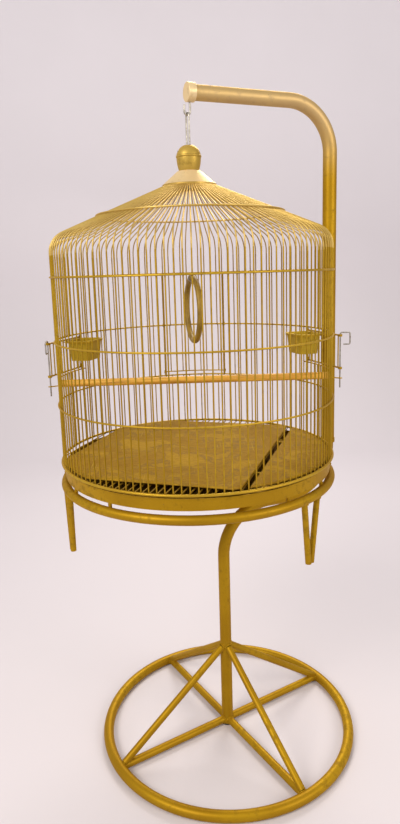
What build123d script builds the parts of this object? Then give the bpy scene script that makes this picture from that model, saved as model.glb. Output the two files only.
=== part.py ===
from build123d import *
import os
from math import cos, radians, sin, sqrt

# Hanging bird cage on an offset tube stand, in millimetres.
# Origin: on the floor under the foot of the post, at the centre of the round base.
# +Z up, +X to the right of someone in front of the cage, +Y away from them.

# Stand: the post, the arm and the cage axis lie in one upright plane.
stand_angle = 21.4            # that plane, turned from +X towards +Y
post_diameter = 22.0
post_wall = 1.5
pole_diameter = 25.4
swivel_gap = 0.15             # between the lower tube and the pole that turns on it
pole_offset = 230.0           # pole axis from the post axis
offset_height = 451.5         # axis of the level run under the cage
lower_bend = 95.0
arm_height = 1180.5
arm_bend = 85.0
cage_offset = 47.0            # cage axis behind the post axis, along the stand plane
riser_top = 680.0
pole_foot = 560.0
stop_height = 8.0

base_radius = 236.0
base_tube = 19.0
spoke_angle = 31.2
spoke_diameter = 14.0
brace_diameter = 12.7
frame_wall = 1.5              # of the base ring, spokes, braces and tray ring
drain_hole = 3.0
brace_height = 168.0
spoke_count = 4
plug_flange = 3.0
plug_depth = 15.0

# Cage: heights above the floor, radii from the cage axis.
cage_radius = 240.0           # centre line of the hoops
bar_diameter = 2.2
bar_count = 120
hoop_wire = 3.0
weld = 0.4                    # how far crossing wires sink into each other
hoop_top_height = 887.5
hoop_middle_height = 780.0
hoop_lower_height = 672.5
bottom_height = 571.5
bottom_wire = 4.5
wall_top = 922.0
roof_ring_radius = 158.6
roof_ring_height = 985.5
roof_slope = 0.42
eave_bend = 35.0
eave_radius = 214.0           # where the straight roof bars turn into the eave
crown_radius = 44.5           # where the roof bars end
cap_rim_radius = 46.0
cap_rim_height = 1033.5
cap_top_radius = 20.0
cap_top_height = 1055.5
sheet = 1.5

# Knob, link and hook.
knob_foot_radius = 16.5
knob_radius = 20.5
knob_seam_height = 1077.0
seam_band = 4.0
dome_height = 15.5
dome_hole = 9.0
pin_diameter = 4.0
pin_height = 1086.0
link_wire = 3.0
link_width = 12.0             # between the centres of its two long wires
hook_wire = 3.5
hook_bend = 5.0
hook_height = 1145.0          # centre of the wire at the lowest point of the hook
contact = 0.05                # air left where one wire hangs on another

# Openings in the wall, as bar numbers counted from +X, one bar every three degrees.
feeder_bars = 8               # last bar cut back from each side, the hinge bar
door_first_bar = 26
door_last_bar = 34
sill_height = 712.0
feeder_top = 774.5
feeder_bottom = 717.5
feeder_wire = 3.0
latch_wire = 2.5
latch_side = 253.0            # latch position beside the cage
latch_front = -20.0
handle_right = 0.0            # where the finger loops of the latches point
handle_left = -90.0

# Perch, swing, floor and lower ring.
perch_diameter = 13.0
perch_height = 701.5
perch_reach = 243.0
swing_angle = 102.0
swing_wire_diameter = 2.5
swing_radius = 54.5
swing_section = 10.0
swing_height = 825.5
swing_eye_height = 1036.0
floor_angle = 71.6
floor_pitch = 11.8
floor_wire = 2.0
mat_thickness = 4.0
tray_radius = 235.5
tray_floor = 546.5
tray_depth = 19.0
tray_sheet = 1.2
lower_ring_radius = 236.5
lower_ring_tube = 15.5
lower_ring_height = 532.5
leg_diameter = 10.0
leg_foot = 420.0
leg_angles = (-41.0, -161.5, 78.5)

os.makedirs("parts", exist_ok=True)

bar_radius = cage_radius - hoop_wire / 2 - bar_diameter / 2 + weld
bar_step = 360.0 / bar_count
cage_x = -cage_offset * cos(radians(stand_angle))
cage_y = -cage_offset * sin(radians(stand_angle))

stand_plane = Plane(
    origin=(0, 0, 0),
    x_dir=(cos(radians(stand_angle)), sin(radians(stand_angle)), 0),
    z_dir=(sin(radians(stand_angle)), -cos(radians(stand_angle)), 0),
)
cage_floor = Plane(origin=(cage_x, cage_y, 0))
cage_section = Plane(origin=(cage_x, cage_y, 0), x_dir=(1, 0, 0), z_dir=(0, -1, 0))


def save(part, name):
    part.label = name
    export_step(part, f"parts/{name}.step")


def in_cage(radius, angle, height):
    """Point at a radius and an angle about the cage axis."""
    return Vector(
        cage_x + radius * cos(radians(angle)),
        cage_y + radius * sin(radians(angle)),
        height,
    )


def in_stand(along, height):
    """Point in the upright plane of the stand."""
    return Vector(
        along * cos(radians(stand_angle)),
        along * sin(radians(stand_angle)),
        height,
    )


def upright_plane(angle, height):
    """Upright plane through the cage axis, its X direction turned by the angle."""
    turn = radians(angle)
    return Plane(
        origin=(cage_x, cage_y, height),
        x_dir=(cos(turn), sin(turn), 0),
        z_dir=(sin(turn), -cos(turn), 0),
    )


def bar_spots(first, last):
    """Plan positions of a run of bars on the wall circle."""
    return [
        (bar_radius * cos(radians(n * bar_step)), bar_radius * sin(radians(n * bar_step)))
        for n in range(first, last + 1)
    ]


def rod(start, end, diameter):
    """Straight round rod from one point to another."""
    with BuildPart() as piece:
        with BuildSketch(Plane(origin=start, z_dir=end - start)):
            Circle(diameter / 2)
        extrude(amount=(end - start).length)
    return piece.part


def bent_wire(plane, points, bends, diameter):
    """Wire along a bent path drawn on a plane."""
    with BuildPart() as piece:
        with BuildLine(plane) as path:
            FilletPolyline(*points, radius=bends)
        with BuildSketch(Plane(origin=path.line @ 0, z_dir=path.line % 0)):
            Circle(diameter / 2)
        sweep(path=path.line)
    return piece.part


def ring(plane, radius, diameter):
    """Round hoop of wire or tube lying on a plane."""
    with BuildPart(plane) as piece:
        Torus(radius, diameter / 2)
    return piece.part


def pipe(start, end, diameter):
    """Straight length of tube, open at both ends."""
    with BuildPart() as piece:
        with BuildSketch(Plane(origin=start, z_dir=end - start)):
            Circle(diameter / 2)
            Circle(diameter / 2 - frame_wall, mode=Mode.SUBTRACT)
        extrude(amount=(end - start).length)
    return piece.part


def tube_ring(plane, radius, diameter):
    """Hoop rolled from tube, with a small drain hole underneath."""
    with BuildPart(plane) as piece:
        Torus(radius, diameter / 2)
        Torus(radius, diameter / 2 - frame_wall, mode=Mode.SUBTRACT)
        with Locations((0, -radius, -diameter / 4)):
            Cylinder(drain_hole / 2, diameter / 2, mode=Mode.SUBTRACT)
    return piece.part


def sleeve(plane, outer, inner, height):
    """Short tube standing on a plane."""
    with BuildPart() as piece:
        with BuildSketch(plane):
            Circle(outer)
            Circle(inner, mode=Mode.SUBTRACT)
        extrude(amount=height)
    return piece.part


def turned(plane, outline):
    """Solid of revolution about the Y axis of a plane, from straight-sided points."""
    with BuildPart() as piece:
        with BuildSketch(plane):
            with BuildLine():
                Polyline(*outline, close=True)
            make_face()
        revolve(axis=Axis(plane.origin, (0, 0, 1)))
    return piece.part


# ---------------------------------------------------------------- stand

def make_base():
    save(tube_ring(Plane.XY.offset(base_tube / 2), base_radius, base_tube), "base_ring")

    with BuildPart() as base_spokes:
        for n in range(spoke_count):
            turn = radians(spoke_angle + n * 360 / spoke_count)
            out = Vector(cos(turn), sin(turn), 0)
            lift = Vector(0, 0, base_tube / 2)
            add(pipe(out * 10.2 + lift, out * (base_radius - 7) + lift, spoke_diameter))
    save(base_spokes.part, "base_spokes")

    with BuildPart() as base_braces:
        for n in range(spoke_count):
            turn = radians(spoke_angle + n * 360 / spoke_count)
            out = Vector(cos(turn), sin(turn), 0)
            low = out * (base_radius - 10) + Vector(0, 0, 15)
            high = out * 9.8 + Vector(0, 0, brace_height)
            add(pipe(low, high, brace_diameter))
    save(base_braces.part, "base_braces")

    bore = post_diameter / 2 - post_wall
    with BuildPart() as post_foot_plug:
        with BuildSketch():
            Circle(post_diameter / 2)
        extrude(amount=plug_flange)
        with BuildSketch(Plane.XY.offset(plug_flange)):
            Circle(bore)
        extrude(amount=plug_depth - plug_flange)
    save(post_foot_plug.part, "post_foot_plug")


def make_tubes():
    run_end = pole_offset
    with BuildPart() as lower_tube:
        with BuildLine(stand_plane) as path:
            FilletPolyline(
                (0, plug_flange),
                (0, offset_height),
                (run_end, offset_height),
                (run_end, riser_top),
                radius=lower_bend,
            )
        with BuildSketch(Plane(origin=path.line @ 0, z_dir=path.line % 0)):
            Circle(post_diameter / 2)
            Circle(post_diameter / 2 - post_wall, mode=Mode.SUBTRACT)
        sweep(path=path.line)
    save(lower_tube.part, "lower_tube")

    stop_plane = Plane(origin=in_stand(pole_offset, pole_foot - stop_height))
    stop = sleeve(stop_plane, pole_diameter / 2 + 1.0, post_diameter / 2, stop_height)
    save(stop, "pole_stop_ring")

    arm_end = -cage_offset + 1.5
    with BuildPart() as upper_tube:
        with BuildLine(stand_plane) as path:
            FilletPolyline(
                (pole_offset, pole_foot + 0.2),
                (pole_offset, arm_height),
                (arm_end, arm_height),
                radius=arm_bend,
            )
        with BuildSketch(Plane(origin=path.line @ 0, z_dir=path.line % 0)):
            Circle(pole_diameter / 2)
            Circle(post_diameter / 2 + swivel_gap, mode=Mode.SUBTRACT)
        sweep(path=path.line)
    save(upper_tube.part, "upper_tube")

    # A cap pushed over the end of the arm: a disc with a short skirt.
    face = Plane(
        origin=in_stand(-cage_offset - 1.0, arm_height),
        z_dir=in_stand(1, 0),
    )
    with BuildPart() as arm_end_cap:
        with BuildSketch(face):
            Circle(15.5)
        extrude(amount=14)
        fillet(arm_end_cap.edges().filter_by(GeomType.CIRCLE), 1.2)
        with BuildSketch(face.offset(2.5)):
            Circle(pole_diameter / 2)
        extrude(amount=20, mode=Mode.SUBTRACT)
    save(arm_end_cap.part, "arm_end_cap")

    # The stem of the hook goes up through the cap and the tube wall.
    stem = -cage_offset + hook_bend
    tip = -cage_offset - hook_bend
    hook = bent_wire(
        stand_plane,
        [(stem, arm_height - 9), (stem, hook_height), (tip, hook_height), (tip, 1161)],
        hook_bend - 0.01,
        hook_wire,
    )
    save(hook, "arm_hook")


# ---------------------------------------------------------------- link and knob

def make_link():
    top = hook_height + hook_wire / 2 + link_wire / 2 + contact
    bottom = pin_height - pin_diameter / 2 - link_wire / 2 - contact
    half = link_width / 2
    plane = upright_plane(stand_angle + 90, 0)
    with BuildPart() as hanger_link:
        with BuildLine(plane) as path:
            Line((half, bottom + half), (half, top - half))
            ThreePointArc((half, top - half), (0, top), (-half, top - half))
            Line((-half, top - half), (-half, bottom + half))
            ThreePointArc((-half, bottom + half), (0, bottom), (half, bottom + half))
        with BuildSketch(Plane(origin=path.line @ 0, z_dir=path.line % 0)):
            Circle(link_wire / 2)
        sweep(path=path.line)
    save(hanger_link.part, "hanger_link")


def make_knob():
    barrel_top = knob_seam_height
    with BuildPart() as knob_barrel:
        with BuildSketch(cage_section):
            with BuildLine():
                Polyline(
                    (knob_radius, barrel_top),
                    (0, barrel_top),
                    (0, cap_top_height),
                    (knob_foot_radius, cap_top_height),
                )
                ThreePointArc(
                    (knob_foot_radius, cap_top_height),
                    (knob_radius - 0.9, cap_top_height + 12),
                    (knob_radius, barrel_top),
                )
            make_face()
        revolve(axis=Axis(cage_section.origin, (0, 0, 1)))
    save(knob_barrel.part, "knob_barrel")

    low = barrel_top
    high = barrel_top + seam_band
    with BuildPart() as knob_seam_ring:
        with BuildSketch(cage_section):
            with BuildLine():
                Polyline((knob_radius - 0.5, high), (15, high), (15, low), (knob_radius - 0.5, low))
                ThreePointArc(
                    (knob_radius - 0.5, low),
                    (knob_radius + 0.9, (low + high) / 2),
                    (knob_radius - 0.5, high),
                )
            make_face()
        revolve(axis=Axis(cage_section.origin, (0, 0, 1)))
    save(knob_seam_ring.part, "knob_seam_ring")

    shell = 1.5
    with BuildPart() as knob_dome:
        with BuildSketch(cage_section):
            with BuildLine():
                ThreePointArc(
                    (knob_radius, high),
                    (knob_radius - 4.2, high + dome_height * 0.62),
                    (dome_hole, high + dome_height),
                )
                Line((dome_hole, high + dome_height), (dome_hole, high + dome_height - shell))
                ThreePointArc(
                    (dome_hole, high + dome_height - shell),
                    (knob_radius - 5.4, high + dome_height * 0.58),
                    (knob_radius - shell, high),
                )
                Line((knob_radius - shell, high), (knob_radius, high))
            make_face()
        revolve(axis=Axis(cage_section.origin, (0, 0, 1)))
    save(knob_dome.part, "knob_dome")

    reach = knob_radius - 1.6
    start = in_cage(reach, stand_angle + 180, pin_height)
    end = in_cage(reach, stand_angle, pin_height)
    save(rod(start, end, pin_diameter), "knob_pin")


# ---------------------------------------------------------------- roof and wall

def make_crown():
    cone = [
        (0, cap_top_height),
        (cap_top_radius, cap_top_height),
        (cap_rim_radius, cap_rim_height),
        (cap_rim_radius - 1.8, cap_rim_height),
        (cap_top_radius - 0.8, cap_top_height - sheet),
        (0, cap_top_height - sheet),
    ]
    save(turned(cage_section, cone), "roof_cap")

    band = [
        (39, cap_rim_height - 5),
        (crown_radius + 1, cap_rim_height - 5),
        (crown_radius + 1, cap_rim_height),
        (39, cap_rim_height),
    ]
    save(turned(cage_section, band), "crown_ring")


def make_roof():
    # The bars pass just under the roof ring and sink into it by the weld depth.
    lean = sqrt(1 + roof_slope**2)
    under = (hoop_wire / 2 + bar_diameter / 2 - weld) * lean
    line_height = roof_ring_height - under
    high = line_height + roof_slope * (roof_ring_radius - crown_radius)
    corner = line_height - roof_slope * (bar_radius - roof_ring_radius)
    eave_height = corner + roof_slope * (bar_radius - eave_radius)
    slope = rod(in_cage(crown_radius, 0, high), in_cage(eave_radius, 0, eave_height), bar_diameter)
    eave = bent_wire(
        cage_section,
        [(eave_radius, eave_height), (bar_radius, corner), (bar_radius, wall_top)],
        eave_bend,
        bar_diameter,
    )
    axle = Axis((cage_x, cage_y, 0), (0, 0, 1))
    for bar, name in ((slope, "roof_bars"), (eave, "eave_bars")):
        copies = [bar.rotate(axle, n * bar_step) for n in range(bar_count)]
        save(Compound(children=copies), name)
    save(ring(cage_floor.offset(roof_ring_height), roof_ring_radius, hoop_wire), "roof_ring")


def make_wall():
    spans = []
    left_hinge = bar_count // 2 - feeder_bars
    spans.append((bar_spots(feeder_bars + 1, door_first_bar - 1), bottom_height, wall_top))
    spans.append((bar_spots(door_last_bar + 1, left_hinge - 1), bottom_height, wall_top))
    spans.append((bar_spots(bar_count // 2 + 1, bar_count - 1), bottom_height, wall_top))
    feeders = bar_spots(0, feeder_bars) + bar_spots(left_hinge, bar_count // 2)
    spans.append((feeders, bottom_height, sill_height))
    spans.append((feeders, hoop_middle_height, wall_top))
    doorway = bar_spots(door_first_bar, door_last_bar)
    spans.append((doorway, bottom_height, hoop_lower_height))
    spans.append((doorway, hoop_middle_height, wall_top))
    with BuildPart() as wall_bars:
        for spots, low, high in spans:
            with BuildSketch(cage_floor.offset(low)):
                with Locations(*spots):
                    Circle(bar_diameter / 2)
            extrude(amount=high - low)
    save(wall_bars.part, "wall_bars")

    save(ring(cage_floor.offset(hoop_top_height), cage_radius, hoop_wire), "hoop_top")
    save(ring(cage_floor.offset(hoop_middle_height), cage_radius, hoop_wire), "hoop_middle")
    save(ring(cage_floor.offset(hoop_lower_height), cage_radius, hoop_wire), "hoop_lower")
    save(ring(cage_floor.offset(bottom_height), cage_radius, bottom_wire), "bottom_wire_ring")


# ---------------------------------------------------------------- main door at the back

guide_radius = 247.0
door_low = 679.5               # its two cross wires lie level with the hoops
door_high = 780.0
door_wire = 2.4
guide_wire = 2.4


def arc_wire(radius, first, last, height, diameter):
    """Curved wire following the wall between two angles."""
    with BuildPart() as piece:
        with BuildLine(cage_floor.offset(height)) as path:
            CenterArc((0, 0), radius, first, last - first)
        with BuildSketch(Plane(origin=path.line @ 0, z_dir=path.line % 0)):
            Circle(diameter / 2)
        sweep(path=path.line)
    return piece.part


def make_main_door():
    first = (door_first_bar - 1) * bar_step
    last = (door_last_bar + 1) * bar_step
    # Two staple-shaped guide wires stand off the hoops, so the door clears them.
    guides = []
    for angle in (first, last):
        guides.append(
            bent_wire(
                upright_plane(angle, 0),
                [
                    (cage_radius + 1, hoop_lower_height),
                    (guide_radius, hoop_lower_height),
                    (guide_radius, hoop_top_height),
                    (cage_radius + 1, hoop_top_height),
                ],
                2.5,
                guide_wire,
            )
        )
    save(Compound(children=guides), "main_door_guides")

    bore = guide_wire / 2 + 0.15
    with BuildPart() as main_door:
        add(arc_wire(guide_radius, first + 0.5, last - 0.5, door_low, door_wire))
        add(arc_wire(guide_radius, first + 0.5, last - 0.5, door_high, door_wire))
        for n in range(door_first_bar, door_last_bar + 1):
            low = in_cage(guide_radius, n * bar_step, door_low)
            high = in_cage(guide_radius, n * bar_step, door_high)
            add(rod(low, high, bar_diameter))
        for angle in (first, last):
            for height in (door_low, door_high):
                foot = Plane(origin=in_cage(guide_radius, angle, height - 3))
                add(sleeve(foot, 2.4, bore, 6))
    save(main_door.part, "main_door")


# ---------------------------------------------------------------- feeders, one each side

cup_near = 8.0                # cup rim from the door plane, and its size
cup_start = 12.0
cup_long = 68.0
cup_wide = 50.0
cup_top = 774.5
cup_height = 36.0
cup_corner = 16.0
cup_lip = 3.0
cup_wall = 1.6
loop_wire = 2.5
feeder_door_bars = 10
eye_half = 2.0                # half height of the eyes the latch wire runs through


class Feeder:
    """Plan geometry of one feeder door: side is -1 on the left and 1 on the right."""

    def __init__(self, side):
        self.side = side
        hinge_angle = feeder_bars * bar_step
        self.hinge = Vector(
            cage_x + side * bar_radius * cos(radians(hinge_angle)),
            cage_y + bar_radius * sin(radians(hinge_angle)),
            0,
        )
        self.latch = Vector(cage_x + side * latch_side, cage_y + latch_front, 0)
        self.length = (self.latch - self.hinge).length
        self.along = (self.latch - self.hinge).normalized()
        self.inward = Vector(0, 0, 1).cross(self.along) * -side

    def at(self, along, inward, height):
        return self.hinge + self.along * along + self.inward * inward + Vector(0, 0, height)

    def level(self, height):
        """Level plane at the hinge, X along the door."""
        return Plane(origin=self.hinge + Vector(0, 0, height), x_dir=self.along)


def door_bar_place(f, n):
    """Distance of one door bar from the hinge."""
    edge = 7.0
    return edge + (f.length - 2 * edge) * n / (feeder_door_bars - 1)


def feeder_door(f):
    bore = feeder_wire / 2 + 0.1
    end = f.length
    with BuildPart() as door:
        for height in (feeder_top, feeder_bottom):
            add(rod(f.at(2.1, 0, height), f.at(end - 2.2, 0, height), feeder_wire))
            eye = Plane(origin=f.at(end, 0, height - eye_half))
            add(sleeve(eye, 3.4, latch_wire / 2 + 0.12, 2 * eye_half))
        for low in (feeder_bottom - 2.5, feeder_top - 5.5):
            add(sleeve(Plane(origin=f.at(0, 0, low)), 2.9, bore, 8))
        for n in range(feeder_door_bars):
            along = door_bar_place(f, n)
            low = f.at(along, 0, feeder_bottom - 0.3)
            add(rod(low, f.at(along, 0, feeder_top + 0.3), bar_diameter))
        # Rounded loop that the cup hangs in, on two short arms.
        inset = cup_lip - 0.35 - loop_wire
        middle = (cup_start + cup_long / 2, -f.side * (cup_near + cup_wide / 2))
        with BuildSketch(f.level(cup_top - 1.5 - loop_wire - 0.15)):
            with Locations(middle):
                RectangleRounded(cup_long - 2 * inset, cup_wide - 2 * inset, cup_corner)
                RectangleRounded(
                    cup_long - 2 * (inset + loop_wire),
                    cup_wide - 2 * (inset + loop_wire),
                    cup_corner - loop_wire,
                    mode=Mode.SUBTRACT,
                )
        extrude(amount=loop_wire)
        level = cup_top - 1.5 - loop_wire / 2 - 0.15
        for n in (2, 5):
            along = door_bar_place(f, n)
            add(rod(f.at(along, 0, level), f.at(along, cup_near + 1.4, level), 2.0))
    return door.part


def feeder_cup(f):
    middle = (cup_start + cup_long / 2, -f.side * (cup_near + cup_wide / 2))
    body_long = cup_long - 2 * cup_lip
    body_wide = cup_wide - 2 * cup_lip
    with BuildPart() as cup:
        with BuildSketch(f.level(cup_top - 1.5)):
            with Locations(middle):
                RectangleRounded(body_long, body_wide, cup_corner - cup_lip)
        extrude(amount=-(cup_height - 1.5), taper=6)
        with BuildSketch(f.level(cup_top - 1.5)):
            with Locations(middle):
                RectangleRounded(cup_long, cup_wide, cup_corner)
        extrude(amount=1.5)
        with BuildSketch(f.level(cup_top)):
            with Locations(middle):
                RectangleRounded(
                    body_long - 2 * cup_wall,
                    body_wide - 2 * cup_wall,
                    cup_corner - cup_lip - cup_wall,
                )
        extrude(amount=-(cup_height - cup_wall), taper=6, mode=Mode.SUBTRACT)
    return cup.part


def feeder_latch(f):
    # A straight wire through the two eyes, its top bent out into a finger loop.
    bend = 3.0
    seat = feeder_top + eye_half + bend + contact
    turn = radians(handle_right if f.side > 0 else handle_left)
    out = Vector(cos(turn), sin(turn), 0)
    plane = Plane(origin=f.latch, x_dir=out, z_dir=out.cross(Vector(0, 0, 1)))
    points = [(0, 683), (0, seat), (17, seat), (17, seat - 20.5), (5.5, seat - 20.5)]
    return bent_wire(plane, points, bend, latch_wire)


def feeder_keeper(f):
    # An open fork of wire on the next wall bar: the latch tail springs into it.
    bend = 2.7
    plane = f.level(700)
    in_y = -f.side
    with BuildPart() as keeper:
        with BuildLine(plane) as path:
            Line((f.length + bend, -2.5 * in_y), (f.length + bend, 0))
            ThreePointArc(
                (f.length + bend, 0),
                (f.length, bend * in_y),
                (f.length - bend, 0),
            )
            Line((f.length - bend, 0), (f.length - bend, -2.5 * in_y))
        with BuildSketch(Plane(origin=path.line @ 0, z_dir=path.line % 0)):
            Circle(1.0)
        sweep(path=path.line)
        bar_angle = -bar_step if f.side > 0 else 180 + bar_step
        wall = in_cage(bar_radius, bar_angle, 700)
        add(rod(f.at(f.length, bend, 700), wall, 2.0))
    return keeper.part


def make_feeders():
    for side, word in ((-1, "left"), (1, "right")):
        f = Feeder(side)
        save(feeder_door(f), f"feeder_door_{word}")
        save(feeder_cup(f), f"feeder_cup_{word}")
        save(feeder_latch(f), f"feeder_latch_{word}")
        save(feeder_keeper(f), f"feeder_keeper_{word}")
        hinge = rod(f.at(0, 0, sill_height), f.at(0, 0, hoop_middle_height), feeder_wire)
        save(hinge, f"feeder_hinge_rod_{word}")
        reach = (feeder_bars + 1) * bar_step
        first = -bar_step if side > 0 else 180 - reach
        sill = arc_wire(cage_radius, first, first + reach + bar_step, sill_height, door_wire)
        save(sill, f"feeder_sill_{word}")


# ---------------------------------------------------------------- perch and swing

def make_perch():
    with BuildPart() as perch:
        add(rod(
            Vector(cage_x - perch_reach, cage_y, perch_height),
            Vector(cage_x + perch_reach, cage_y, perch_height),
            perch_diameter,
        ))
        # A slot in each end fits over one wall bar.
        slot = perch_reach - bar_radius + bar_diameter / 2
        with BuildSketch(Plane(origin=(cage_x, cage_y, perch_height - perch_diameter))):
            with Locations((perch_reach - slot / 2, 0), (slot / 2 - perch_reach, 0)):
                Rectangle(slot, bar_diameter)
        extrude(amount=2 * perch_diameter, mode=Mode.SUBTRACT)
    save(perch.part, "perch")


def make_swing():
    loop = 5.0
    eye_wire = 3.0
    across = upright_plane(swing_angle + 90, swing_eye_height)
    with BuildPart() as swing_eye:
        add(ring(across, loop, eye_wire))
        start = in_cage(0, 0, swing_eye_height + loop)
        add(rod(start, in_cage(0, 0, cap_top_height - sheet), 4.0))
    save(swing_eye.part, "swing_eye")

    drop = loop - eye_wire / 2 - swing_wire_diameter / 2 - contact
    top_loop = swing_eye_height - drop - loop
    ring_top = swing_height + swing_radius
    low_loop = 7.0
    with BuildPart() as swing_wire:
        add(ring(upright_plane(swing_angle, top_loop), loop, swing_wire_diameter))
        add(rod(in_cage(0, 0, ring_top + low_loop), in_cage(0, 0, top_loop - loop), swing_wire_diameter))
        add(ring(upright_plane(swing_angle + 90, ring_top), low_loop, swing_wire_diameter))
    save(swing_wire.part, "swing_wire")
    save(ring(upright_plane(swing_angle, swing_height), swing_radius, swing_section), "swing_ring")


# ---------------------------------------------------------------- floor, tray and lower ring

def floor_line(offset, inside, height):
    """Ends of a chord of a circle, parallel to the floor wires."""
    turn = radians(floor_angle)
    half = sqrt(inside**2 - offset**2)
    across = Vector(sin(turn), -cos(turn), 0) * offset
    along = Vector(cos(turn), sin(turn), 0) * half
    centre = Vector(cage_x, cage_y, height)
    return centre + across - along, centre + across + along


def make_floor():
    count = int(232 / floor_pitch)
    wire_height = bottom_height - 1.5
    wires = []
    for n in range(-count, count + 1):
        start, end = floor_line(n * floor_pitch, cage_radius - 1, wire_height)
        wires.append(rod(start, end, floor_wire))
    save(Compound(children=wires), "floor_grate")

    # Two bearer wires run across under the grate.
    turn = radians(floor_angle)
    bearers = []
    for offset in (-95.0, 95.0):
        half = sqrt((cage_radius - 1) ** 2 - offset**2)
        middle = Vector(cage_x, cage_y, wire_height - 2.2)
        middle += Vector(cos(turn), sin(turn), 0) * offset
        reach = Vector(sin(turn), -cos(turn), 0) * half
        bearers.append(rod(middle - reach, middle + reach, hoop_wire))
    save(Compound(children=bearers), "grate_bearers")

    # Two loose boards cover the grate, with a gap between their long edges.
    mat_level = wire_height + floor_wire / 2
    board_plane = Plane(
        origin=(cage_x, cage_y, mat_level),
        x_dir=(sin(turn), -cos(turn), 0),
    )
    for name, low, high, front, back in (
        ("floor_board_large", -205.0, 130.0, -200.0, 200.0),
        ("floor_board_small", 141.0, 240.0, -240.0, 205.0),
    ):
        with BuildPart() as board:
            with BuildSketch(board_plane):
                with Locations(((low + high) / 2, (front + back) / 2)):
                    Rectangle(high - low, back - front)
                Circle(232, mode=Mode.INTERSECT)
            extrude(amount=mat_thickness)
        save(board.part, name)


def make_tray():
    pan = [
        (0, tray_floor),
        (tray_radius, tray_floor),
        (tray_radius, tray_floor + tray_depth),
        (tray_radius - tray_sheet, tray_floor + tray_depth),
        (tray_radius - tray_sheet, tray_floor + tray_sheet),
        (0, tray_floor + tray_sheet),
    ]
    save(turned(cage_section, pan), "tray")


def make_lower_ring():
    lower = tube_ring(cage_floor.offset(lower_ring_height), lower_ring_radius, lower_ring_tube)
    save(lower, "lower_ring")

    posts = []
    for angle in (0.0, 45.0, 90.0, 135.0, 180.0):
        foot = in_cage(239.5, angle, lower_ring_height + 3)
        posts.append(rod(foot, in_cage(239.5, angle, bottom_height), 5.0))
    save(Compound(children=posts), "ring_posts")

    pegs = []
    for angle in (-150.0, -126.0, -54.0, -30.0, 60.0, 120.0):
        foot = in_cage(232.5, angle, lower_ring_height + 4)
        pegs.append(rod(foot, in_cage(232.5, angle, tray_floor), 6.0))
    save(Compound(children=pegs), "tray_pegs")

    # Each leg is two rods that meet at the foot, their ends cut level.
    legs = []
    for angle in leg_angles:
        for lean in (-1, 1):
            foot = in_cage(234.0, angle + lean * 1.01, leg_foot)
            head = in_cage(lower_ring_radius, angle + lean * 4.8, lower_ring_height - 3)
            with BuildPart() as leg:
                with BuildSketch(Plane(origin=foot)):
                    Circle(leg_diameter / 2)
                with BuildSketch(Plane(origin=head)):
                    Circle(leg_diameter / 2)
                loft()
            legs.append(leg.part)
    save(Compound(children=legs), "cage_legs")


make_base()
make_tubes()
make_link()
make_knob()
make_crown()
make_roof()
make_wall()
make_main_door()
make_feeders()
make_perch()
make_swing()
make_floor()
make_tray()
make_lower_ring()
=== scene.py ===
from math import cos, pi, radians, sin

import bmesh
import bpy
import numpy as np
from mathutils import Matrix, Vector


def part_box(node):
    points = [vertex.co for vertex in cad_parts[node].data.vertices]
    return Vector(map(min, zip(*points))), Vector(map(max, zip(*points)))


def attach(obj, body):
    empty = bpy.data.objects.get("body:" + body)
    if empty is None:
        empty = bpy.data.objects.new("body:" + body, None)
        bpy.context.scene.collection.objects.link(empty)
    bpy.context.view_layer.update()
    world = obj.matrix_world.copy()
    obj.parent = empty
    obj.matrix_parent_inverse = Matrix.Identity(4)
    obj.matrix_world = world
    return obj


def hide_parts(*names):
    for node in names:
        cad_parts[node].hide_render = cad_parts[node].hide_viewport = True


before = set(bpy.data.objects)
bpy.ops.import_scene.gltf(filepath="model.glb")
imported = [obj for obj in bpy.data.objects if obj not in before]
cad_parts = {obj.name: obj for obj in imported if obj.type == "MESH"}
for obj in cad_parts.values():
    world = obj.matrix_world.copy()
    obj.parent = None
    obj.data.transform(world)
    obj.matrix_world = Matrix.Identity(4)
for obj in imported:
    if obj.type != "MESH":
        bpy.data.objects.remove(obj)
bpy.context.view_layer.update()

dice = np.random.default_rng(14)


def middleOf(node):
    low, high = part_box(node)
    return (low + high) / 2


def reachOf(node):
    low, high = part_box(node)
    return (high - low) / 2


cageAxis = middleOf("hoop_middle")        # only its x and y are used
print("frame read")


# camera

view = {
    "place": (0.0, -1.1138, 0.8915),      # from the cage axis
    "yaw": 0.39, "pitch": 10.58, "roll": -1.68,
    "lens": 27.73, "shiftY": -0.0276,
}


def makeCamera():
    yaw, pitch, roll = (radians(view[k]) for k in ("yaw", "pitch", "roll"))
    forward = Vector((sin(yaw) * cos(pitch), cos(yaw) * cos(pitch), -sin(pitch)))
    level = Vector((cos(yaw), -sin(yaw), 0))
    upright = level.cross(forward)
    right = level * cos(roll) + upright * sin(roll)
    up = upright * cos(roll) - level * sin(roll)
    lens = bpy.data.cameras.new("camera")
    lens.lens = view["lens"]
    lens.shift_y = view["shiftY"]
    lens.dof.use_dof = False
    lens.clip_start, lens.clip_end = 0.02, 30
    camera = bpy.data.objects.new("camera", lens)
    bpy.context.collection.objects.link(camera)
    place = Vector((cageAxis.x, cageAxis.y, 0)) + Vector(view["place"])
    turned = Matrix((right, up, -forward)).transposed().to_4x4()
    camera.matrix_world = Matrix.Translation(place) @ turned
    bpy.context.scene.camera = camera


makeCamera()
print("camera placed")


# shader sockets and nodes

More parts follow.
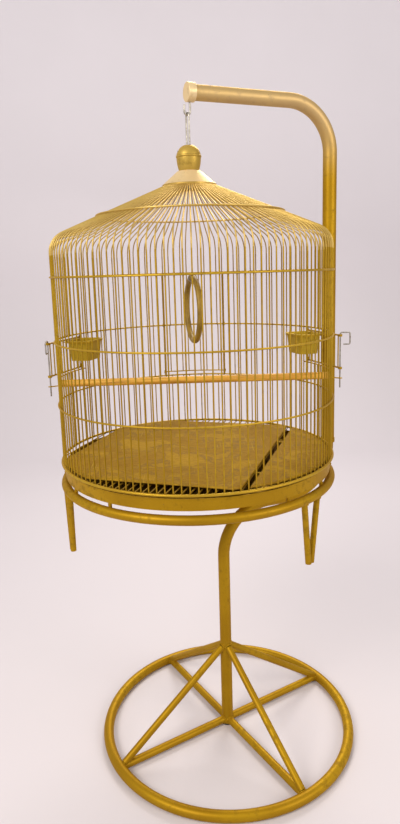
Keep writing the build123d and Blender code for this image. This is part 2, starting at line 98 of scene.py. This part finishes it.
class Socket:
    # an output of a node; arithmetic on it adds Math nodes
    def __init__(self, finish, out):
        self.finish = finish
        self.out = out

    def maths(self, how, *others):
        return self.finish.maths(how, self, *others)

    def __add__(self, other):
        return self.maths("ADD", other)

    def __radd__(self, other):
        return self.finish.maths("ADD", other, self)

    def __sub__(self, other):
        return self.maths("SUBTRACT", other)

    def __rsub__(self, other):
        return self.finish.maths("SUBTRACT", other, self)

    def __mul__(self, other):
        return self.maths("MULTIPLY", other)

    def __rmul__(self, other):
        return self.finish.maths("MULTIPLY", other, self)

    def __truediv__(self, other):
        return self.maths("DIVIDE", other)

    def __rtruediv__(self, other):
        return self.finish.maths("DIVIDE", other, self)

    def __neg__(self):
        return self.maths("MULTIPLY", -1.0)

    def rise(self, low, high):
        # 0 below low, 1 above high, an s-curve between
        return self.finish.node("MapRange", {"interpolation_type": "SMOOTHSTEP"},
                                {"Value": self, "From Min": low, "From Max": high}, "Result")


class Finish:
    # one material with a Principled shader
    def __init__(self, name):
        self.material = bpy.data.materials.new(name)
        self.material.use_nodes = True
        self.tree = self.material.node_tree
        self.tree.nodes.clear()
        self.shader = self.tree.nodes.new("ShaderNodeBsdfPrincipled")
        end = self.tree.nodes.new("ShaderNodeOutputMaterial")
        self.tree.links.new(self.shader.outputs["BSDF"], end.inputs["Surface"])
        self.here = self.node("TexCoord", {}, {}, "Object")

    def node(self, kind, settings, values, give=0):
        made = self.tree.nodes.new("ShaderNode" + kind)
        for key, value in settings.items():
            setattr(made, key, value)
        for key, value in values.items():
            self.feed(made.inputs[key], value)
        return Socket(self, made.outputs[give])

    def feed(self, socket, value):
        if isinstance(value, Socket):
            self.tree.links.new(value.out, socket)
        elif socket.type == "RGBA" and len(value) == 3:
            socket.default_value = (*value, 1)
        else:
            socket.default_value = value

    def maths(self, how, *values):
        return self.node("Math", {"operation": how}, dict(enumerate(values)))

    def mix(self, amount, first, second):
        settings = {"data_type": "RGBA", "clamp_factor": True}
        return self.node("Mix", settings, {0: amount, 6: first, 7: second}, 2)

    def stretch(self, scale, turn=(0, 0, 0)):
        return self.node("Mapping", {}, {"Vector": self.here, "Scale": scale, "Rotation": turn})

    def noise(self, scale, detail=2.0, rough=0.5, bend=0.0, at=None):
        values = {"Vector": at or self.here, "Scale": scale, "Detail": detail, "Roughness": rough,
                  "Distortion": bend}
        return self.node("TexNoise", {}, values)

    def cells(self, scale, at=None):
        values = {"Vector": at or self.here, "Scale": scale}
        return self.node("TexVoronoi", {"feature": "F1"}, values, "Distance")

    def along(self, axis):
        return self.node("SeparateXYZ", {}, {0: self.here}, axis)

    def relief(self, height, distance):
        values = {"Height": height, "Distance": distance, "Strength": 1.0}
        return self.node("Bump", {}, values, "Normal")

    def dress(self, **values):
        for key, value in values.items():
            self.feed(self.shader.inputs[key.replace("_", " ")], value)
        return self.material


# painted metal

chipTone = (0.085, 0.062, 0.045)
flakeTone = (0.70, 0.46, 0.05)
# painted highlight: pale colour standing in for the light on the arm and the top of the pole
paintedHighlightTone = (0.74, 0.59, 0.40)
sheenTone = (1.0, 0.72, 0.22)
paintedHighlightLevels = (1.04, 1.16)            # painted highlight: heights over which the arm and the top of the pole turn paler where light falls on them
scorchWidth = 0.0035

goldPaints = {
    # paintedHighlight: how strongly the arm and the top of the pole are paled as painted highlight
    "frameGold": {
        "bright": (0.43, 0.250, 0.007), "deep": (0.32, 0.170, 0.004), "dull": (0.10, 0.05, 0.003),
        "metal": 0.58, "rough": 0.50, "soil": 0.4, "peel": 0.00016, "paintedHighlight": 0.4,
    },
    "wireGold": {
        "bright": (0.48, 0.30, 0.022), "deep": (0.33, 0.19, 0.009), "dull": (0.10, 0.055, 0.006),
        "metal": 0.55, "rough": 0.38, "soil": 0.4, "peel": 0.0001,
    },
    "hoopGold": {
        "bright": (0.50, 0.32, 0.030), "deep": (0.37, 0.22, 0.014), "dull": (0.14, 0.08, 0.008),
        "metal": 0.5, "rough": 0.38, "soil": 0.35, "peel": 0.0001,
    },
    # painted highlight: a paler gold than the wall wire, standing in for the light from above on the
    # roof
    "roofPaintedHighlightGold": {
        "bright": (0.66, 0.48, 0.17), "deep": (0.47, 0.31, 0.07), "dull": (0.17, 0.10, 0.02),
        "metal": 0.45, "rough": 0.38, "soil": 0.3, "peel": 0.0001,
    },
    # painted highlight: pale cream standing in for the light from above on the roof cap and the arm's
    # end cap
    "capPaintedHighlight": {
        "bright": (0.80, 0.63, 0.38), "deep": (0.68, 0.50, 0.26), "dull": (0.26, 0.17, 0.07),
        "metal": 0.3, "rough": 0.36, "soil": 0.25, "peel": 0.00014,
    },
    "knobGold": {
        "bright": (0.52, 0.36, 0.085), "deep": (0.40, 0.25, 0.04), "dull": (0.12, 0.07, 0.012),
        "metal": 0.45, "rough": 0.42, "soil": 0.4, "peel": 0.00014,
    },
    "trayGold": {
        "bright": (0.44, 0.25, 0.006), "deep": (0.32, 0.17, 0.004), "dull": (0.10, 0.05, 0.003),
        "metal": 0.5, "rough": 0.42, "soil": 0.5, "peel": 0.00018,
    },
    "cupGold": {
        "bright": (0.50, 0.35, 0.035), "deep": (0.38, 0.25, 0.016), "dull": (0.14, 0.085, 0.010),
        "metal": 0.45, "rough": 0.45, "soil": 0.45, "peel": 0.00016,
    },
}


def goldPaint(name, scorchLevels=()):
    # lacquer over steel: broad drift of tone, blotches, fine flakes, soiled patches and small chips, and
    # where asked a painted highlight paling the top
    look = goldPaints[name]
    f = Finish(name)
    drift = f.noise(7.0, 2.0)
    blotch = f.noise(95.0, 4.0, 0.6)
    flake = f.noise(2100.0, 1.0)
    tone = f.mix(drift.rise(0.3, 0.72), look["deep"], look["bright"])
    tone = f.mix((blotch - 0.35) * 0.55, tone, look["deep"])
    soil = (blotch * 0.65 + drift * 0.35).rise(0.53, 0.66) * look["soil"]
    for level in scorchLevels:                        # heat tint either side of each row of welds
        away = (f.along("Z") - level) / scorchWidth
        soil = soil.maths("MAXIMUM", f.maths("EXPONENT", -(away * away)) * 0.4)
    tone = f.mix(soil, tone, look["dull"])
    tone = f.mix((flake - 0.42) * 0.6, tone, flakeTone)
    # painted highlight: paler towards the top, where the arm and the pole catch the light
    if "paintedHighlight" in look:
        tone = f.mix(f.along("Z").rise(*paintedHighlightLevels) * look["paintedHighlight"], tone, paintedHighlightTone)
    chip = f.cells(160.0) + (f.noise(520.0, 2.0) - 0.5) * 0.5
    chip = (1 - chip.rise(0.045, 0.085)) * blotch.rise(0.5, 0.58)
    tone = f.mix(chip * 0.8, tone, chipTone)
    skin = f.noise(420.0, 3.0, 0.55) * 0.6 + flake * 0.15 + blotch * 0.4 - chip * 0.5
    rough = look["rough"] + soil * 0.3 + (flake - 0.5) * 0.12 + chip * 0.25
    metal = look["metal"] * (1 - soil * 0.6) * (1 - chip * 0.7)
    f.dress(Coat_Weight=0.03, Coat_Roughness=0.25, Specular_IOR_Level=0.35, Specular_Tint=sheenTone)
    return f.dress(Base_Color=tone, Roughness=rough, Metallic=metal, Normal=f.relief(skin, look["peel"]))


# bare wire, wood, board, plastic

def zincWire():
    # drawn wire: fine upright lines, grey bloom and a few rust freckles
    f = Finish("zincWire")
    bloom = f.noise(130.0, 4.0, 0.6)
    lines = f.noise(1.0, 2.0, at=f.stretch((2600, 2600, 90)))
    rust = (f.noise(300.0, 3.0, 0.65) * 0.6 + bloom * 0.4).rise(0.56, 0.64)
    tone = f.mix(bloom.rise(0.35, 0.7), (0.50, 0.47, 0.42), (0.30, 0.28, 0.25))
    tone = f.mix(rust * 0.75, tone, (0.18, 0.085, 0.035))
    return f.dress(Base_Color=tone, Roughness=0.28 + bloom * 0.2 + lines * 0.1 + rust * 0.3,
                   Metallic=1 - rust * 0.7, Normal=f.relief(lines + rust * 0.6, 0.00006))


perchLook = {"pale": (0.80, 0.44, 0.055), "mid": (0.62, 0.295, 0.025), "dark": (0.27, 0.11, 0.012)}


def perchWood():
    # turned dowel: fibres, rings and pores drawn out along X, with claw dents in patches
    f = Finish("perchWood")
    fibre = f.noise(1.0, 5.0, 0.6, 0.4, at=f.stretch((14, 420, 420)))
    rings = f.noise(1.0, 2.0, 0.5, 1.2, at=f.stretch((3.5, 130, 130)))
    pores = f.noise(1.0, 2.0, at=f.stretch((70, 1900, 1900)))
    dents = 1 - f.cells(1.0, at=f.stretch((330, 120, 120))).rise(0.10, 0.26)
    dents = dents * f.noise(26.0, 2.0).rise(0.5, 0.62)
    tone = f.mix(rings.rise(0.32, 0.68), perchLook["mid"], perchLook["pale"])
    tone = f.mix(fibre.rise(0.45, 0.75) * 0.7, tone, perchLook["dark"])
    tone = f.mix(pores.rise(0.62, 0.72) * 0.6, tone, perchLook["dark"])
    tone = f.mix(dents * 0.55, tone, (0.66, 0.46, 0.22))
    return f.dress(Base_Color=tone, Roughness=0.42 + fibre * 0.16 + dents * 0.25, Coat_Weight=0.12,
                   Normal=f.relief(fibre * 0.5 - pores.rise(0.6, 0.72) * 0.5 - dents * 1.6, 0.00035))


boardTurn = radians(71.6)                 # the boards' length from the X axis
boardLook = {"pale": (0.41, 0.235, 0.008), "mid": (0.29, 0.152, 0.004), "dark": (0.12, 0.058, 0.002)}


def fibreBoard():
    # pressed board: short fibres, water marks with darker rims, pale flecks and scratches
    f = Finish("fibreBoard")
    fibre = f.noise(1.0, 4.0, 0.65, at=f.stretch((90, 520, 520), (0, 0, -boardTurn)))
    fleck = f.noise(900.0, 3.0)
    cloud = f.noise(16.0, 4.0, 0.6, 0.6)
    rim = 1 - ((cloud - 0.52) * 22.0).maths("ABSOLUTE").rise(0.0, 0.8)
    scratch = f.noise(1.0, 1.0, 0.5, 0.3, at=f.stretch((420, 9, 40), (0, 0, radians(24))))
    scratch = scratch.rise(0.70, 0.74)
    tone = f.mix(cloud.rise(0.35, 0.7), boardLook["mid"], boardLook["pale"])
    tone = f.mix(fibre.rise(0.4, 0.75) * 0.6, tone, boardLook["dark"])
    tone = f.mix(rim * 0.45, tone, boardLook["dark"])
    tone = f.mix(fleck.rise(0.55, 0.7) * 0.5, tone, (0.50, 0.30, 0.015))
    tone = f.mix(scratch * 0.6, tone, (0.52, 0.34, 0.04))
    return f.dress(Base_Color=tone, Roughness=0.62 + fibre * 0.2 - rim * 0.1, Specular_IOR_Level=0.1,
                   Normal=f.relief(fibre * 0.8 + fleck * 0.4 - scratch * 0.8, 0.0003))


def swingPlastic():
    # moulded ring: olive gold with paler scuffs
    f = Finish("swingGold")
    cloud = f.noise(45.0, 3.0, 0.6)
    grain = f.noise(1500.0, 2.0)
    scuff = f.noise(1.0, 3.0, 0.6, at=f.stretch((500, 60, 500))).rise(0.56, 0.68)
    tone = f.mix(cloud.rise(0.3, 0.7), (0.20, 0.115, 0.008), (0.32, 0.195, 0.018))
    tone = f.mix(scuff * 0.5, tone, (0.42, 0.28, 0.05))
    return f.dress(Base_Color=tone, Roughness=0.44 + grain * 0.12 + scuff * 0.15, Metallic=0.15,
                   Normal=f.relief(grain * 0.4 - scuff * 0.4, 0.00012))


def plugPlastic():
    # black moulding under patchy dust
    f = Finish("plugBlack")
    dust = f.noise(260.0, 4.0, 0.65).rise(0.45, 0.75)
    tone = f.mix(dust * 0.6, (0.012, 0.012, 0.012), (0.14, 0.12, 0.09))
    grain = f.noise(1200.0, 2.0)
    return f.dress(Base_Color=tone, Roughness=0.5 + dust * 0.3, Normal=f.relief(grain, 0.00008))


hoops = ("hoop_top", "hoop_middle", "hoop_lower", "bottom_wire_ring")
frameGold = goldPaint("frameGold")
wireGold = goldPaint("wireGold", [middleOf(hoop).z for hoop in hoops])
hoopGold = goldPaint("hoopGold")
roofPaintedHighlightGold = goldPaint("roofPaintedHighlightGold")
capPaintedHighlight = goldPaint("capPaintedHighlight")
knobGold = goldPaint("knobGold")
trayGold = goldPaint("trayGold")
cupGold = goldPaint("cupGold")
zinc = zincWire()
wood = perchWood()
board = fibreBoard()
swingGold = swingPlastic()
plugBlack = plugPlastic()

nodeFinishes = {
    "base_ring base_spokes base_braces lower_tube pole_stop_ring upper_tube": frameGold,
    "lower_ring ring_posts tray_pegs cage_legs": frameGold,
    "post_foot_plug": plugBlack,
    # painted highlight: the caps are paled in place of the light from above
    "arm_end_cap roof_cap": capPaintedHighlight,
    "knob_barrel knob_seam_ring knob_dome": knobGold,
    "arm_hook hanger_link knob_pin swing_eye swing_wire": zinc,
    "feeder_latch_left feeder_latch_right": zinc,
    "hoop_top hoop_middle hoop_lower bottom_wire_ring": hoopGold,
    # painted highlight: the roof gets the paler gold in place of the light from above
    "roof_bars eave_bars crown_ring roof_ring": roofPaintedHighlightGold,
    "swing_ring": swingGold,
    "perch": wood,
    "floor_board_large floor_board_small": board,
    "tray": trayGold,
    "feeder_cup_left feeder_cup_right": cupGold,
}


def paintNodes():
    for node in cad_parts.values():
        node.data.materials.clear()
        node.data.materials.append(wireGold)
    for names, finish in nodeFinishes.items():
        for name in names.split():
            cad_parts[name].data.materials[0] = finish


paintNodes()
print("finishes made")


# meshes from grids

def gridFaces(rows, columns, joinRows=False, joinColumns=False):
    # quads between neighbours of a rows by columns grid
    r = np.arange(rows if joinRows else rows - 1)[:, None]
    c = np.arange(columns if joinColumns else columns - 1)[None, :]
    down, across = (r + 1) % rows, (c + 1) % columns
    corners = (r * columns + c, r * columns + across, down * columns + across, down * columns + c)
    return np.stack(corners, -1).reshape(-1, 4)


def repeatFaces(faces, copies, count):
    # the same faces on each of a number of copies of count points
    return (faces[None] + np.arange(copies)[:, None, None] * count).reshape(-1, faces.shape[1])


def makePiece(name, points, faces, body, finish, stands=(), crease=40):
    mesh = bpy.data.meshes.new(name)
    mesh.from_pydata(points.reshape(-1, 3).tolist(), [], faces.tolist())
    work = bmesh.new()
    work.from_mesh(mesh)
    bmesh.ops.remove_doubles(work, verts=work.verts, dist=1e-6)
    bmesh.ops.recalc_face_normals(work, faces=work.faces)
    work.to_mesh(mesh)
    work.free()
    mesh.shade_smooth()
    mesh.set_sharp_from_angle(angle=radians(crease))
    mesh.materials.append(finish)
    piece = bpy.data.objects.new(name, mesh)
    bpy.context.collection.objects.link(piece)
    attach(piece, body)
    if stands:
        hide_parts(*stands)


def unit(v):
    return v / np.linalg.norm(v, axis=-1, keepdims=True)


# weld beads where bars cross hoops

welds = {
    "bars": 120, "width": 0.0019, "height": 0.0018, "proud": 0.0008, "uneven": 0.16,
    # hoop: diameter of its wire, and how far the bars lean back from upright where they cross it
    "hoops": {"hoop_top": (0.003, 0), "hoop_middle": (0.003, 0), "hoop_lower": (0.003, 0),
              "bottom_wire_ring": (0.0045, 0), "roof_ring": (0.003, 1.174)},
}


def beadShape(rings=3, sides=7):
    # ball: latitude down the rows, longitude along the columns
    lat = np.linspace(0, pi, rings + 2)[:, None]
    lon = np.linspace(0, 2 * pi, sides, endpoint=False)[None, :]
    ball = (np.sin(lat) * np.cos(lon), np.sin(lat) * np.sin(lon), np.cos(lat))
    ball = np.stack(np.broadcast_arrays(*ball), -1)
    return ball.reshape(-1, 3), gridFaces(rings + 2, sides, joinColumns=True)


def wireWelds():
    # a flattened ball at each crossing, its size a little uneven
    ball, faces = beadShape()
    turn = np.arange(welds["bars"]) * 2 * pi / welds["bars"]
    spots = []
    for node, (wire, lean) in welds["hoops"].items():
        radius = reachOf(node).x - wire / 2
        inward = wire / 2 * cos(lean)
        level = middleOf(node).z - wire / 2 * sin(lean)
        for angle in turn:
            spots.append((radius - inward, angle, level, lean))
    radius, turn, level, lean = np.array(spots).T
    outward = np.stack([np.cos(turn), np.sin(turn), 0 * turn], -1)
    sideways = np.stack([-np.sin(turn), np.cos(turn), 0 * turn], -1)
    upward = np.array([0, 0, 1.0])
    normal = outward * np.cos(lean)[:, None] + upward * np.sin(lean)[:, None]
    rise = upward * np.cos(lean)[:, None] - outward * np.sin(lean)[:, None]
    centre = outward * radius[:, None] + upward * level[:, None] + np.array([cageAxis.x, cageAxis.y, 0])
    size = 1 + dice.uniform(-welds["uneven"], welds["uneven"], (len(radius), 3))
    shape = ball[None] * size[:, None]
    points = centre[:, None] + shape[..., :1] * normal[:, None] * welds["proud"]
    points = points + shape[..., 1:2] * sideways[:, None] * welds["width"]
    points = points + shape[..., 2:] * rise[:, None] * welds["height"]
    faces = repeatFaces(faces, len(radius), len(ball))
    makePiece("wireWelds", points, faces, "cage", wireGold)


# weld seams where one tube runs into another

seamLook = {"steps": 56, "sides": 8, "bead": 0.0017, "ripple": 0.16, "ripples": 19}


def seamRound(start, direction, rodRadius, axisPoint, axisDirection, tubeRadius):
    # bead along the curve where a rod's skin meets a tube's skin: each line of the rod's skin is
    # followed until it is one tube radius from the tube's axis
    start, direction, axisPoint = (np.array(v, float) for v in (start, direction, axisPoint))
    direction, axis = unit(direction), unit(np.array(axisDirection, float))
    side = unit(np.cross(direction, axis))
    other = np.cross(direction, side)
    turn = np.linspace(0, 2 * pi, seamLook["steps"], endpoint=False)[:, None]
    away = np.cos(turn) * side + np.sin(turn) * other
    skin = start + away * rodRadius
    offset = skin - axisPoint
    offset = offset - (offset @ axis)[:, None] * axis
    run = direction - (direction @ axis) * axis
    b = offset @ run
    c = (offset**2).sum(-1) - tubeRadius**2
    a = run @ run
    reach = (-b - np.sqrt(np.maximum(b * b - a * c, 0))) / a
    curve = skin + reach[:, None] * direction
    heading = unit(np.roll(curve, -1, 0) - np.roll(curve, 1, 0))
    out = unit(away - (away * heading).sum(-1, keepdims=True) * heading)
    across = np.cross(heading, out)
    thick = seamLook["bead"] * (1 + seamLook["ripple"] * np.sin(turn * seamLook["ripples"]))
    ring = np.linspace(0, 2 * pi, seamLook["sides"], endpoint=False)
    cut = np.cos(ring)[None, :, None] * out[:, None] + np.sin(ring)[None, :, None] * across[:, None]
    return curve[:, None] + cut * thick[:, None]


def joinSeams(name, seams, body, finish):
    faces = gridFaces(seamLook["steps"], seamLook["sides"], True, True)
    count = seamLook["steps"] * seamLook["sides"]
    makePiece(name, np.array(seams), repeatFaces(faces, len(seams), count), body, finish)


base = {
    "spokes": 4, "angle": 31.2, "spokeRadius": 0.007, "spokeMiddle": 0.12, "ringTube": 0.0095,
    "braceRadius": 0.00635, "braceHead": (0.0098, 0.168), "braceFoot": (0.226, 0.015),
    "postRadius": 0.011,
}


def baseSeams():
    # both ends of each spoke and of each brace
    seams = []
    level = base["ringTube"]
    ringRadius = reachOf("base_ring").x - base["ringTube"]
    spoke, brace = base["spokeRadius"], base["braceRadius"]
    post = ((0, 0, 0), (0, 0, 1), base["postRadius"])
    for n in range(base["spokes"]):
        turn = radians(base["angle"] + n * 360 / base["spokes"])
        out = np.array((cos(turn), sin(turn), 0))
        tangent = (-sin(turn), cos(turn), 0)
        middle = out * base["spokeMiddle"] + (0, 0, level)
        onRing = out * ringRadius + (0, 0, level)
        seams.append(seamRound(middle, out, spoke, onRing, tangent, base["ringTube"]))
        seams.append(seamRound(middle, -out, spoke, *post))
        foot = out * base["braceFoot"][0] + (0, 0, base["braceFoot"][1])
        head = out * base["braceHead"][0] + (0, 0, base["braceHead"][1])
        midway = (foot + head) / 2
        seams.append(seamRound(midway, head - foot, brace, *post))
        seams.append(seamRound(midway, foot - head, brace, (0, 0, level), out, spoke))
    joinSeams("baseSeams", seams, "stand", frameGold)


legs = {
    "angles": (-41.0, -161.5, 78.5), "spread": 4.8, "toe": 1.01, "radius": 0.005,
    "footRadius": 0.234, "foot": 0.420, "headDrop": 0.003,
}
posts = {"angles": (0, 45, 90, 135, 180), "circle": 0.2395, "above": 0.03, "radius": 0.0025}
lowerRingTube = 0.00775


def onCage(radius, degrees, level):
    # a point at an angle round the cage's axis
    turn = radians(degrees)
    return np.array((cageAxis.x + radius * cos(turn), cageAxis.y + radius * sin(turn), level))


def ringSeams():
    # where the leg rods and the short posts meet the lower ring
    seams = []
    level = middleOf("lower_ring").z
    ringRadius = reachOf("lower_ring").x - lowerRingTube

    def meetRing(start, direction, rodRadius, degrees):
        tangent = (-sin(radians(degrees)), cos(radians(degrees)), 0)
        onRing = onCage(ringRadius, degrees, level)
        seams.append(seamRound(start, direction, rodRadius, onRing, tangent, lowerRingTube))

    for angle in legs["angles"]:
        for lean in (-1, 1):
            foot = onCage(legs["footRadius"], angle + lean * legs["toe"], legs["foot"])
            head = onCage(ringRadius, angle + lean * legs["spread"], level - legs["headDrop"])
            meetRing(foot, head - foot, legs["radius"], angle + lean * legs["spread"])
    for angle in posts["angles"]:
        top = onCage(posts["circle"], angle, level + posts["above"])
        meetRing(top, (0, 0, -1), posts["radius"], angle)
    joinSeams("ringSeams", seams, "cage", frameGold)


wireWelds()
baseSeams()
ringSeams()
print("welds made")


# floor boards

boards = {
    "radius": 0.232, "thick": 0.004, "round": 0.0013, "rows": 90, "columns": 70,
    "curl": 0.0014, "wave": 0.0007, "waves": (31, 17),
    # low and high side across the boards, then front and back end
    "large": (-0.205, 0.130, -0.200, 0.200), "small": (0.141, 0.2318, -0.240, 0.205),
}


def boardSheet(name, node, finish):
    # rows run across the board; each row goes round the section: over the top, round the edge, back
    # underneath and round the other edge. The ends close on the middle of the thickness.
    low, high, front, back = boards[name]
    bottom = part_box(node)[0].z
    r, half = boards["round"], boards["thick"] / 2
    s = np.linspace(-1, 1, boards["rows"])
    across = (low + high) / 2 + (high - low) / 2 * np.sin(s * pi / 2)
    pinch = np.clip(np.minimum(across - low, high - across) / r, 0, 1)
    pinch = np.sqrt(1 - (1 - pinch) ** 2)              # round nose at both ends
    limit = np.sqrt(np.maximum(boards["radius"] ** 2 - across**2, 1e-9))
    first, last = np.maximum(front, -limit), np.minimum(back, limit)
    run = np.linspace(0, 1, boards["columns"])
    edge = np.clip(np.minimum(run, 1 - run) * (last - first)[:, None] / r, 0, 1)
    lift = np.sqrt(1 - (1 - edge) ** 2) * r + half - r
    lift = np.where(edge <= 0, 0, lift) * pinch[:, None]
    along = first[:, None] + (last - first)[:, None] * run
    side = across[:, None]
    ripple = 1 + np.sin(along * boards["waves"][0] + side * boards["waves"][1])
    curl = boards["curl"] * (along / boards["radius"]) ** 4 + boards["wave"] * ripple / 2
    over = np.stack(np.broadcast_arrays(side, along, bottom + half + curl + lift), -1)
    under = np.stack(np.broadcast_arrays(side, along, bottom + half + curl - lift), -1)[:, ::-1]
    loop = np.concatenate([over, under[:, 1:-1]], 1)
    x = cageAxis.x + loop[..., 0] * sin(boardTurn) + loop[..., 1] * cos(boardTurn)
    y = cageAxis.y - loop[..., 0] * cos(boardTurn) + loop[..., 1] * sin(boardTurn)
    points = np.stack([x, y, loop[..., 2]], -1)
    faces = gridFaces(points.shape[0], points.shape[1], joinColumns=True)
    makePiece(name + "Board", points, faces, "cage", finish, [node], 60)


boardSheet("large", "floor_board_large", board)
boardSheet("small", "floor_board_small", board)
print("floor boards made")


# studio

studio = {
    "floor": (0.66, 0.62, 0.66), "wall": (0.88, 0.84, 0.90), "smudge": (0.5, 0.48, 0.5),
    "sky": (1.0, 0.965, 0.955), "skyStrength": 0.57,
    "near": -4.0, "flat": 1.8, "bend": 0.9, "tall": 3.2, "halfWidth": 4.5,
    "lamps": (                                        # place, size, power, colour
        ((-1.7, -1.9, 2.3), 1.5, 62, (1.0, 0.94, 0.84)),
        ((1.9, -1.5, 1.5), 1.3, 26, (1.0, 0.93, 0.82)),
        ((0.3, 1.7, 2.3), 1.2, 34, (1.0, 0.95, 0.88)),
    ),
    "aim": (0.0, 0.0, 0.75),
}


def makeStudio():
    # a floor that sweeps up into a wall behind: flat, a quarter circle, upright
    bend, flat = studio["bend"], studio["flat"]
    turn = np.linspace(-pi / 2, 0, 24)
    y = np.concatenate([[studio["near"]], flat + bend * np.cos(turn), [flat + bend]])
    z = np.concatenate([[0.0], bend + bend * np.sin(turn), [studio["tall"]]])
    x = np.array([-1, 1])[:, None] * studio["halfWidth"]
    points = np.stack(np.broadcast_arrays(x, y[None], z[None]), -1)
    mesh = bpy.data.meshes.new("sweep")
    mesh.from_pydata(points.reshape(-1, 3).tolist(), [], gridFaces(2, len(y)).tolist())
    mesh.shade_smooth()
    f = Finish("sweepPaper")
    tone = f.mix(f.along("Z").rise(0.0, 2.2), studio["floor"], studio["wall"])
    tone = f.mix(f.noise(2.2, 3.0) * 0.12, tone, studio["smudge"])
    mesh.materials.append(f.dress(Base_Color=tone, Roughness=0.75))
    sweep = bpy.data.objects.new("sweep", mesh)
    bpy.context.collection.objects.link(sweep)
    for n, (place, size, power, tint) in enumerate(studio["lamps"]):
        lamp = bpy.data.lights.new(f"lamp{n}", "AREA")
        lamp.shape, lamp.size, lamp.energy, lamp.color = "DISK", size, power, tint
        stand = bpy.data.objects.new(f"lamp{n}", lamp)
        stand.location = place
        aim = Vector(studio["aim"]) - Vector(place)
        stand.rotation_euler = aim.to_track_quat("-Z", "Y").to_euler()
        bpy.context.collection.objects.link(stand)
    world = bpy.data.worlds.new("sky")
    world.use_nodes = True
    sky = world.node_tree.nodes["Background"]
    sky.inputs["Color"].default_value = (*studio["sky"], 1)
    sky.inputs["Strength"].default_value = studio["skyStrength"]
    bpy.context.scene.world = world


makeStudio()
bpy.context.scene.view_settings.view_transform = "Standard"
print("studio made")
